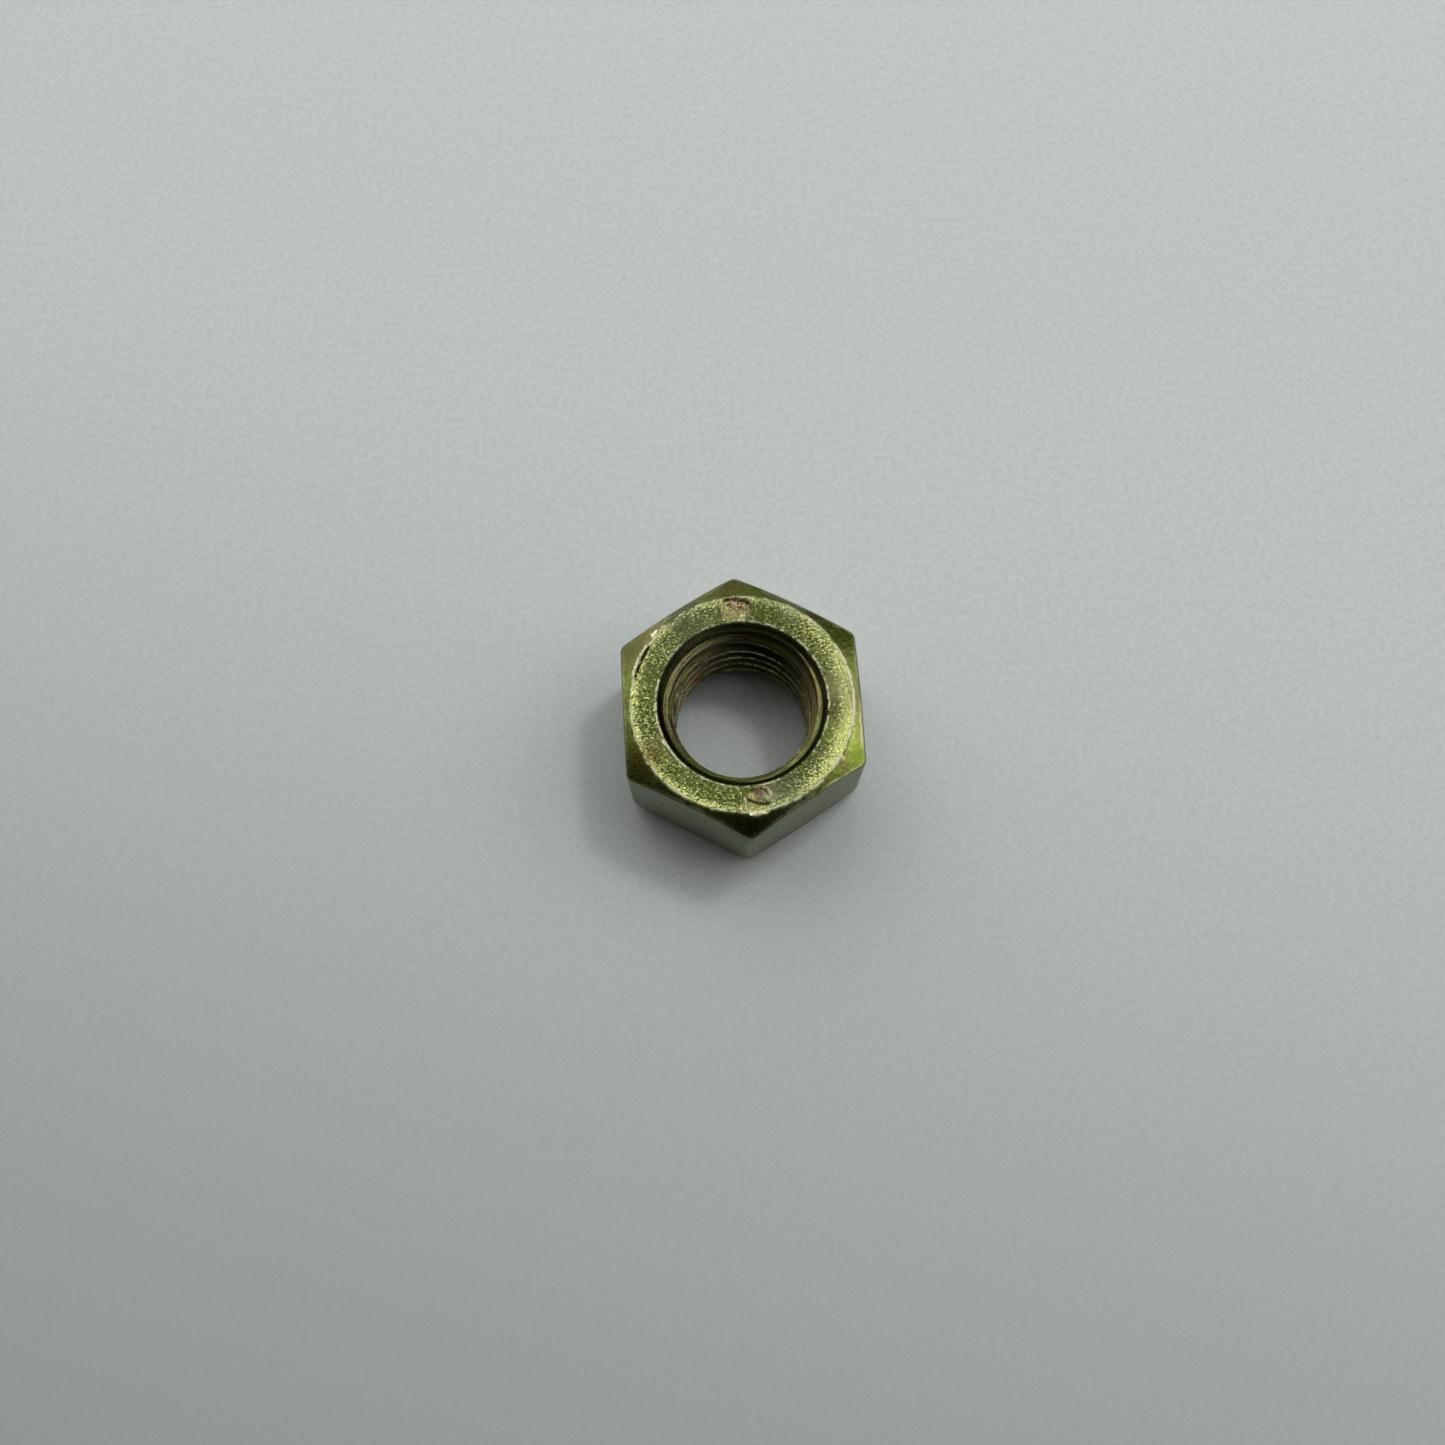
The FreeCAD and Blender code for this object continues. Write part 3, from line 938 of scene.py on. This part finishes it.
    def survey(self, vertices: Array) -> Skin:
        """Tell the regions of the plain skin apart.

        Args:
            vertices: radius, turn and height of each vertex.

        Returns:
            The skin before it is marked, worn bright only at its edges.
        """
        radius, turn, height = vertices.T.copy()
        x, y = radius * np.sin(np.radians(turn)), radius * np.cos(np.radians(turn))
        place = np.stack([x, y, height], -1)
        inset = self.outline.radius(turn) - radius
        depth = self.height - height
        flat = 1 - step(inset, 0, self.edge_round * 0.9)
        bore = step(self.thread.root - radius, -0.03, 0.01) * (depth > self.mouth_foot - 0.01)
        bore = np.maximum(bore, step(self.mouth - radius, 0.06, 0.36) * (height < 3))
        skin = Skin(
            radius=radius, turn=turn, height=height, depth=depth, x=x, y=y, place=place, inset=inset,
            flat=flat, bore=bore, upper=(depth < 2.2) & (flat < 0.5) & (bore < 0.5),
            coarse=grain(place, 0.55, 1), fine=grain(place, 1.9, 2),
            wear=np.zeros_like(x), mark=np.zeros_like(x), painted_recess_shade=np.zeros_like(x))
        skin.wear = self.edge_wear(skin)
        return skin

    def strike(self, skin: Skin, punch: PunchMark) -> None:
        """Sink one punch mark, uneven inside and with a broken bright lip.

        Args:
            skin: the skin to work.
            punch: the mark.
        """
        gap = punch.gap(skin.x, skin.y)
        near = skin.upper & (np.abs(gap) < 3)
        gap = gap + 0.16 * skin.fine
        sunk = step(-gap, -punch.shoulder / 2, punch.shoulder / 2)
        lumps = 0.16 * grain(skin.place[near], 1.4, 3) + 0.04 * grain(skin.place[near], 3.2, 4)
        lip = punch.lip * bell(gap[near] - 0.22, 0.16)
        skin.height[near] -= sunk[near] * (punch.depth + lumps) - lip
        skin.mark = np.maximum(skin.mark, np.where(skin.upper, sunk, 0))
        peaks = 0.6 * step(-lumps, 0.02, 0.10) * sunk[near]
        skin.wear[near] = np.maximum(skin.wear[near], peaks)
        broken = np.clip(0.6 + 1.2 * skin.coarse + 0.9 * skin.fine, 0.1, 1)
        bright = 0.8 * bell(gap - 0.12, 0.13) * broken
        skin.wear = np.maximum(skin.wear, np.where(skin.upper, bright, 0))
        # painted shadow: the fold across the mark is sunk and blended towards black as its shaded wall
        fold = np.where(skin.upper, punch.fold(skin.x, skin.y) * step(-gap, -0.05, 0.15), 0)
        skin.height -= 0.12 * fold
        skin.painted_recess_shade = np.maximum(skin.painted_recess_shade, 0.95 * fold * step(0.3 * skin.fine + fold, 0.2, 0.7))

    def knock(self, skin: Skin, dent: RimDent) -> None:
        """Sink one dent, darkened inside by painted shade, with the bright burr it raised beside it.

        Args:
            skin: the skin to work.
            dent: the dent.
        """
        strength = np.where(skin.upper, dent.strength(skin.turn, skin.radius), 0)
        burr = np.where(skin.upper, 0.9 * dent.strength(skin.turn, skin.radius - 0.3), 0)
        skin.height -= dent.depth * strength * (0.75 + 0.5 * skin.coarse)
        skin.wear = np.maximum(skin.wear, burr) * (1 - strength)
        # painted shade inside the dent
        skin.painted_recess_shade = np.maximum(skin.painted_recess_shade, step(strength * (1 + 1.4 * skin.fine), 0.3, 0.65))

    def roughen(self, skin: Skin) -> None:
        """Make the upper end slightly uneven, and the flats and the bore slightly wavy.

        Args:
            skin: the skin to work.
        """
        rough = np.where(skin.upper, 0.006 * skin.fine + 0.010 * skin.wear * skin.fine, 0)
        skin.height = np.minimum(skin.height - np.maximum(rough, -self.skin / 2), self.height)
        dished = skin.flat * (0.012 + 0.012 * grain(skin.place, 0.22, 5)) + skin.bore * 0.012 * skin.fine
        skin.radius = skin.radius - np.where(skin.bore > 0.5, -dished, np.maximum(dished, 0))

    def layers(self, skin: Skin) -> dict[str, Array]:
        """Work out the surface attributes that the finish reads.

        Args:
            skin: the finished skin.

        Returns:
            The values of each attribute, by its name.
        """
        dull_edge = step(skin.inset + 0.25 * skin.coarse + 0.1 * skin.fine, 0.1, 0.45)
        dull = np.maximum(skin.flat, 0.85 * (1 - dull_edge))
        # painted highlight on the face's side towards the window, added to the real rubbing near the outer
        # rim and along the flats
        painted_window_glint = bell(turn_gap(skin.turn, 97), 46) * step(skin.radius, 9.0, 11.0)
        rubbed_and_glint = np.maximum(painted_window_glint, 0.45 * bell(skin.radius - 11.0, 0.45)) * skin.upper
        below_edge = skin.depth - self.upper.drop(self.outline.radius(skin.turn)) - self.edge_round
        rubbed_and_glint = np.maximum(rubbed_and_glint, skin.flat * bell(below_edge, 0.9) * (0.8 + skin.coarse))
        plain_radius = np.hypot(skin.x, skin.y)
        tint, stain_and_light_share = self.stain_and_light_layer(skin)
        return {
            Region.CHAMFER.value: step(plain_radius - self.upper.start, -0.03, 0.17) * (1 - dull),
            Region.FLAT.value: dull,
            Region.MOUTH.value: step(self.mouth - plain_radius, 0.06, 0.26) * (1 - skin.bore),
            Region.BORE.value: skin.bore,
            "rubbed_and_glint": rubbed_and_glint,
            # painted shade mask for the upper thread grooves
            "groove": step(skin.radius, 7.3, 7.95) * skin.bore * step(skin.depth, 1.6, 2.4),
            "wear": skin.wear,
            "mark": skin.mark,
            "painted_recess_shade": skin.painted_recess_shade,
            "stain_and_light_share": stain_and_light_share,
            "stain_and_light": tint}

    def edge_wear(self, skin: Skin) -> Array:
        """Say how far handling has worn the edges bright.

        Args:
            skin: the plain skin.

        Returns:
            Wear from 0 to 1.
        """
        uneven = np.clip(0.85 + 1.0 * skin.coarse + 1.1 * skin.fine, 0.1, 1.2)
        inner = bell(skin.radius - self.inner_rim, 0.13) * (skin.upper & (skin.depth < 0.5))
        inner = inner * (0.88 + 0.25 * np.cos(np.radians(2 * skin.turn - 150)))
        outer = bell(skin.radius - self.outer_rim, 0.17) * skin.upper
        outer = outer * (0.9 + 0.2 * np.cos(np.radians(skin.turn - 170)))
        corner = 60 * np.round(skin.turn / 60)
        upright = bell(skin.turn - corner, 1.6) * skin.flat * 0.25
        lower = bell(skin.radius - self.lower.start, 0.12) + bell(skin.radius - self.inner_rim, 0.14)
        lower = 0.5 * lower * ~skin.upper * (skin.depth > 10)
        return np.clip(uneven * np.maximum.reduce([0.9 * inner, outer, upright, lower]), 0, 1)

    def stain_and_light_layer(self, skin: Skin) -> tuple[Array, Array]:
        """Blend the colour patches, real tints and painted light alike.

        Args:
            skin: the skin they lie on.

        Returns:
            One colour and one strength for each vertex.
        """
        place = np.stack([skin.x, skin.y, -skin.depth], -1)
        total = np.full(len(place), 1e-6)
        tint = np.zeros((len(place), 3))
        clear = np.ones(len(place))
        for stain_and_light in self.stains_and_light:
            weight = stain_and_light.strength * bell(np.linalg.norm(place - stain_and_light.place(), axis=1), stain_and_light.size)
            tint += weight[:, None] * np.array(stain_and_light.colour)
            total += weight
            clear *= 1 - weight
        return tint / total[:, None], 1 - clear

    def build(self) -> bpy.types.Object:
        """Make the nut's object.

        Returns:
            The finished mesh object, in metres, without a material.
        """
        vertices, faces = self.shell()
        places, layers = self.worked(vertices)
        mesh = bpy.data.meshes.new("nut_body")
        mesh.from_pydata((places * MM).tolist(), [], clean_faces(faces))
        mesh.polygons.foreach_set("use_smooth", np.ones(len(mesh.polygons), bool))
        for name, values in layers.items():
            if values.ndim == 2:
                layer = mesh.attributes.new(name, "FLOAT_COLOR", "POINT")
                rgba = np.concatenate([values, np.ones((len(values), 1))], 1)
                layer.data.foreach_set("color", rgba.astype(np.float32).ravel())
            else:
                layer = mesh.attributes.new(name, "FLOAT", "POINT")
                layer.data.foreach_set("value", values.astype(np.float32))
        mesh.update()
        nut = bpy.data.objects.new("nut_body", mesh)
        bpy.context.scene.collection.objects.link(nut)
        return nut

    def dress(self, nut: bpy.types.Object, finish: YellowZinc) -> None:
        """Give the nut its finish."""
        nut.data.materials.append(finish.build())


def clean_faces(faces: Array) -> list[list[int]]:
    """Drop repeated corners, and faces that have fewer than three left.

    Args:
        faces: vertex numbers of each face's four corners.

    Returns:
        The vertex numbers of the faces that are left.
    """
    cleaned = []
    for corners in faces.tolist():
        kept = [c for k, c in enumerate(corners) if c != corners[k - 1]]
        if len(set(kept)) >= 3:
            cleaned.append(kept)
    return cleaned


@dataclass(frozen=True)
class Softbox:
    """Square area light that looks at the nut."""

    name: str
    toward: Place
    size: float
    power: float
    distance: float = 500.0

    def build(self) -> bpy.types.Object:
        """Hang the light and aim it at the middle of the scene.

        Returns:
            The light's object.
        """
        lamp = bpy.data.lights.new(self.name, "AREA")
        lamp.shape = "SQUARE"
        lamp.size = self.size * MM
        lamp.energy = self.power
        light = bpy.data.objects.new(self.name, lamp)
        direction = Vector(self.toward).normalized()
        light.location = direction * self.distance * MM
        light.rotation_euler = direction.to_track_quat("Z", "Y").to_euler()
        bpy.context.scene.collection.objects.link(light)
        return light


@dataclass(frozen=True)
class Studio:
    """Paper, soft light and the camera that looks down on the nut."""

    paper: Paper
    lights: tuple[Softbox, ...]
    camera_place: Place = (-3.979, -40.387, 147.625)
    camera_aim: Place = (-1.911, 1.720, 0.0)
    camera_roll: float = 3.72
    lens: float = 35.0
    paper_size: float = 12000.0
    far_glow: Colour = (0.10, 0.10, 0.10)
    near_glow: Colour = (0.018, 0.018, 0.018)
    skyline: Colour = (0.47, 0.485, 0.475)

    def build(self) -> None:
        """Set up everything that isn't the nut."""
        self.lay_paper()
        for light in self.lights:
            light.build()
        self.light_room()
        self.place_camera()
        bpy.context.scene.view_settings.view_transform = "Standard"

    def lay_paper(self) -> None:
        """Lay the sheet of paper that the nut stands on."""
        half = self.paper_size / 2 * MM
        mesh = bpy.data.meshes.new("paper")
        corners = [(-half, -half, 0), (half, -half, 0), (half, half, 0), (-half, half, 0)]
        mesh.from_pydata(corners, [], [(0, 1, 2, 3)])
        mesh.materials.append(self.paper.build())
        sheet = bpy.data.objects.new("paper", mesh)
        bpy.context.scene.collection.objects.link(sheet)

    def light_room(self) -> None:
        """Fill the room with a glow that fades from its far side towards the viewer."""
        world = bpy.data.worlds.new("room")
        world.use_nodes = True
        bpy.context.scene.world = world
        bench = NodeBench(world.node_tree)
        direction = bench.node("ShaderNodeTexCoord", {}).outputs["Generated"]
        _, away, above = bench.node("ShaderNodeSeparateXYZ", {0: direction}).outputs
        glow = bench.mix(bench.rise(away, -0.4, 0.45), self.near_glow, self.far_glow)
        glow = bench.mix(bench.rise(above, 0.22, 0.02), glow, self.skyline)
        sky = bench.node("ShaderNodeBackground", {"Color": glow, "Strength": 1.0})
        bench.node("ShaderNodeOutputWorld", {"Surface": sky.outputs[0]})

    def place_camera(self) -> None:
        """Point the camera down at the nut, turned a little about its own axis."""
        place, aim = Vector(self.camera_place), Vector(self.camera_aim)
        look = (aim - place).normalized()
        level = (Vector((0, 1, 0)) - look * look.y).normalized()
        roll = math.radians(self.camera_roll)
        upward = level * math.cos(roll) + look.cross(level) * math.sin(roll)
        turned = Matrix((look.cross(upward), upward, -look)).transposed().to_4x4()
        lens = bpy.data.cameras.new("camera")
        lens.lens = self.lens
        lens.sensor_width = 36.0
        lens.clip_start = 1 * MM
        camera = bpy.data.objects.new("camera", lens)
        camera.matrix_world = Matrix.Translation(place * MM) @ turned
        bpy.context.scene.collection.objects.link(camera)
        bpy.context.scene.camera = camera


def nut_from_frame() -> HexNut:
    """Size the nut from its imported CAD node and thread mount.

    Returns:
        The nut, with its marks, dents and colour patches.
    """
    low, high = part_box("hex_nut")
    thread = next(mount for mount in frame["record"]["mounts"] if mount["name"] == "thread")
    across_flats = (high.x - low.x) / MM
    reach = across_flats * 0.6
    marks = (
        PunchMark(turn=0.5, distance=10.02, width=2.75, length=2.3, depth=0.24, crease=1.1, slant=-0.15),
        PunchMark(turn=174.7, distance=10.25, width=2.3, length=2.3, depth=0.24, crease=0.15, slant=-0.35))
    dents = (RimDent(first_turn=288, last_turn=305, distance=11.1, width=0.15, depth=0.28),)
    scratches = (
        Scratch((-7.75, 6.45), (-7.1, 4.8)),
        Scratch((-8.6, 7.6), (-8.2, 8.1), width=0.2, brightness=1.0),
        Scratch((-8.1, -3.5), (-7.9, -3.9), width=0.16, brightness=1.0))
    stains_and_light = (
        StainAndLightPatch(turn=243, distance=11.0, depth=0, size=1.5, colour=(0.26, 0.13, 0.035)),
        StainAndLightPatch(turn=170, distance=9.3, depth=0, size=0.9, colour=(0.40, 0.28, 0.19)),
        StainAndLightPatch(turn=174, distance=11.05, depth=0, size=0.55, colour=(0.95, 0.92, 0.34)),
        StainAndLightPatch(turn=180, distance=10.5, depth=0, size=0.5, colour=(0.95, 0.92, 0.34)),
        StainAndLightPatch(turn=167.5, distance=10.2, depth=0, size=0.5, colour=(0.80, 0.92, 0.45)),
        StainAndLightPatch(turn=158, distance=10.2, depth=0, size=1.9, colour=(0.26, 0.30, 0.17), strength=0.7),
        # painted highlight: brighter patches on the face's side towards the window
        StainAndLightPatch(turn=84, distance=9.9, depth=0, size=1.3, colour=(0.80, 0.86, 0.36), strength=0.8),
        StainAndLightPatch(turn=112, distance=10.1, depth=0, size=1.3, colour=(0.66, 0.80, 0.18), strength=0.6),
        StainAndLightPatch(turn=330, distance=10.2, depth=0, size=3.4, colour=(0.17, 0.19, 0.125), strength=0.5),
        StainAndLightPatch(turn=16, distance=10.2, depth=0, size=1.9, colour=(0.10, 0.15, 0.01), strength=0.6),
        StainAndLightPatch(turn=118, distance=12.9, depth=0.8, size=1.3, colour=(0.125, 0.185, 0.012)),
        StainAndLightPatch(turn=86, distance=12.0, depth=0.6, size=1.6, colour=(0.035, 0.04, 0.015), strength=1.0),
        StainAndLightPatch(turn=60, distance=12.5, depth=0.7, size=2.0, colour=(0.18, 0.24, 0.03), strength=0.95),
        StainAndLightPatch(turn=30, distance=11.8, depth=0.4, size=1.5, colour=(0.46, 0.45, 0.30)),
        StainAndLightPatch(turn=330, distance=11.8, depth=0.4, size=1.6, colour=(0.07, 0.075, 0.04), strength=1.0),
        StainAndLightPatch(turn=0, distance=12.3, depth=0.6, size=1.4, colour=(0.22, 0.19, 0.07), strength=0.6),
        # painted reflection: the near corner's chamfer is made near-black for the dark surroundings it
        # mirrors
        StainAndLightPatch(turn=180, distance=12.6, depth=0.7, size=2.4, colour=(0.035, 0.024, 0.012), strength=0.95),
        StainAndLightPatch(turn=240, distance=12.6, depth=0.7, size=1.6, colour=(0.10, 0.13, 0.02)),
        StainAndLightPatch(turn=300, distance=12.6, depth=0.7, size=2.0, colour=(0.125, 0.115, 0.05)),
        # painted light: the countersink and upper bore are kept olive on the right side, where light falls,
        # over the countersink's painted shade
        StainAndLightPatch(turn=85, distance=8.2, depth=0.6, size=4.0, colour=(0.12, 0.12, 0.04), strength=0.7),
        # painted shade: the upper bore darkens from the right side towards the near side
        StainAndLightPatch(turn=95, distance=7.7, depth=1.3, size=2.2, colour=(0.045, 0.037, 0.018), strength=1.0),
        StainAndLightPatch(turn=125, distance=7.7, depth=1.4, size=2.2, colour=(0.065, 0.07, 0.022), strength=1.0),
        # painted shade: the bore's left wall is made near-black
        StainAndLightPatch(turn=262, distance=7.3, depth=4.5, size=3.0, colour=(0.012, 0.014, 0.004), strength=1.0),
        StainAndLightPatch(turn=292, distance=7.3, depth=5.0, size=2.3, colour=(0.012, 0.013, 0.004), strength=1.0),
        # painted light: the countersink is kept green on its left side, where light falls, over its painted
        # shade
        StainAndLightPatch(turn=290, distance=8.5, depth=0.25, size=1.3, colour=(0.10, 0.15, 0.03), strength=0.9),
        StainAndLightPatch(turn=330, distance=8.5, depth=0.25, size=1.3, colour=(0.09, 0.14, 0.03), strength=0.9),
        # painted shade: the second ridge at the near side, shaded by the first
        StainAndLightPatch(turn=180, distance=6.9, depth=3.8, size=1.2, colour=(0.01, 0.01, 0.005), strength=1.0),
        # painted shade: the far-right part of the bore, which the nut itself shades
        StainAndLightPatch(turn=20, distance=7.3, depth=4.5, size=5.5, colour=(0.03, 0.012, 0.006), strength=0.95),
        StainAndLightPatch(turn=85, distance=7.5, depth=3.0, size=2.2, colour=(0.34, 0.21, 0.11)),
        # painted shade on the upper bore at the near side
        StainAndLightPatch(turn=158, distance=7.6, depth=1.5, size=2.6, colour=(0.045, 0.065, 0.014), strength=1.0),
        StainAndLightPatch(turn=210, distance=7.6, depth=1.5, size=3.0, colour=(0.12, 0.18, 0.035)),
        StainAndLightPatch(turn=186, distance=7.6, depth=1.5, size=1.5, colour=(0.20, 0.27, 0.06)),
        StainAndLightPatch(turn=330, distance=7.6, depth=1.5, size=1.8, colour=(0.42, 0.36, 0.18)),
        StainAndLightPatch(turn=318, distance=7.2, depth=7.5, size=1.0, colour=(0.42, 0.17, 0.12)),
    )
    return HexNut(
        outline=Hexagon(across_flats), height=(high.z - low.z) / MM, thread=Thread(thread["dims"]["r_mm"]),
        upper=EndChamfer(start=11.25, slope=25, reach=reach),
        lower=EndChamfer(start=11.25, slope=30, reach=reach),
        marks=marks, dents=dents, scratches=scratches, stains_and_light=stains_and_light)


def main() -> None:
    """Build the nut round its frame, then the paper, the light and the camera."""
    logging.basicConfig(level=logging.INFO, format="%(message)s")
    nut = nut_from_frame()
    body = nut.build()
    nut.dress(body, YellowZinc())
    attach(body, "root")
    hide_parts("hex_nut")
    log.info("%s: %d vertices, %d faces", body.name, len(body.data.vertices), len(body.data.polygons))
    Studio(
        paper=Paper(),
        lights=(
            Softbox("window", toward=(0.62, 0.15, 0.77), size=640, power=1.95, distance=800),
            Softbox("low_window", toward=(0.86, 0.0, 0.5), size=640, power=0.4, distance=800),
            Softbox("far_side", toward=(-0.1, 0.65, 0.75), size=450, power=0.5),
            Softbox("far_left", toward=(-0.55, 0.5, 0.67), size=400, power=0.46),
            Softbox("ceiling", toward=(0.0, 0.25, 0.97), size=300, power=0.24),
            Softbox("lamp", toward=(0.38, 0.30, 0.87), size=110, power=0.9, distance=800),
        ),
    ).build()
    log.info("studio: paper, lights and camera")


if __name__ == "__main__":
    main()
